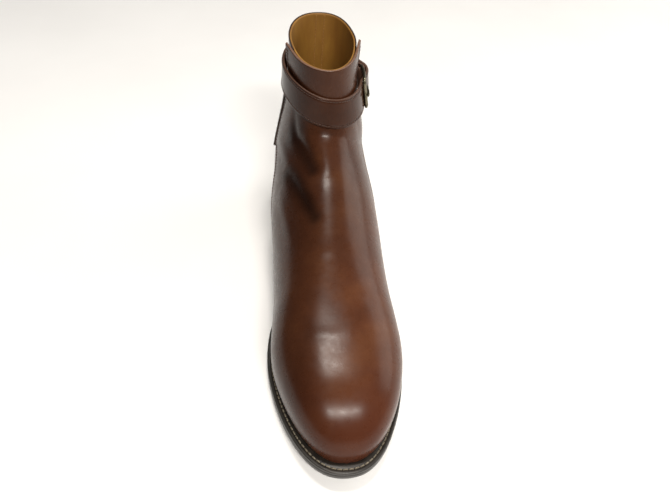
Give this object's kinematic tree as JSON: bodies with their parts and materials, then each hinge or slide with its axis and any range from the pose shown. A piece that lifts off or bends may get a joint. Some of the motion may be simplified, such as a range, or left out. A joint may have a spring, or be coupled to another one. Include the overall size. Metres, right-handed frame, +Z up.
{
  "type": "jodhpur boot",
  "caption": "Left jodhpur boot in smooth brown calf with an ankle strap and dark metal buckle, tan lining, a welted leather sole and a stacked heel.",
  "frame": {"origin": "centre of the heel's tread on the floor", "axes": "+Z up, the toe points along -Y and the heel along +Y, +X is the outer side of the left foot"},
  "size_m": [0.1025, 0.317, 0.1759],
  "materials": {
    "calf_leather": "smooth polished calf, glossy",
    "tan_lining": "matt lining leather",
    "sole_leather": "dark stained edge, satin",
    "heel_rubber": "matt",
    "dark_metal": "dark antique, satin"
  },
  "bodies": {
    "root": {"outsole": "sole_leather", "welt": "sole_leather", "heel_top_piece": "heel_rubber", "heel_lift_1": "sole_leather", "heel_lift_2": "sole_leather", "heel_lift_3": "sole_leather", "insole": "tan_lining", "upper": "calf_leather", "ankle_strap": "calf_leather", "strap_stay": "calf_leather", "strap_keeper": "calf_leather", "buckle_frame": "dark_metal", "buckle_prong": "dark_metal"}
  },
  "joints": []
}
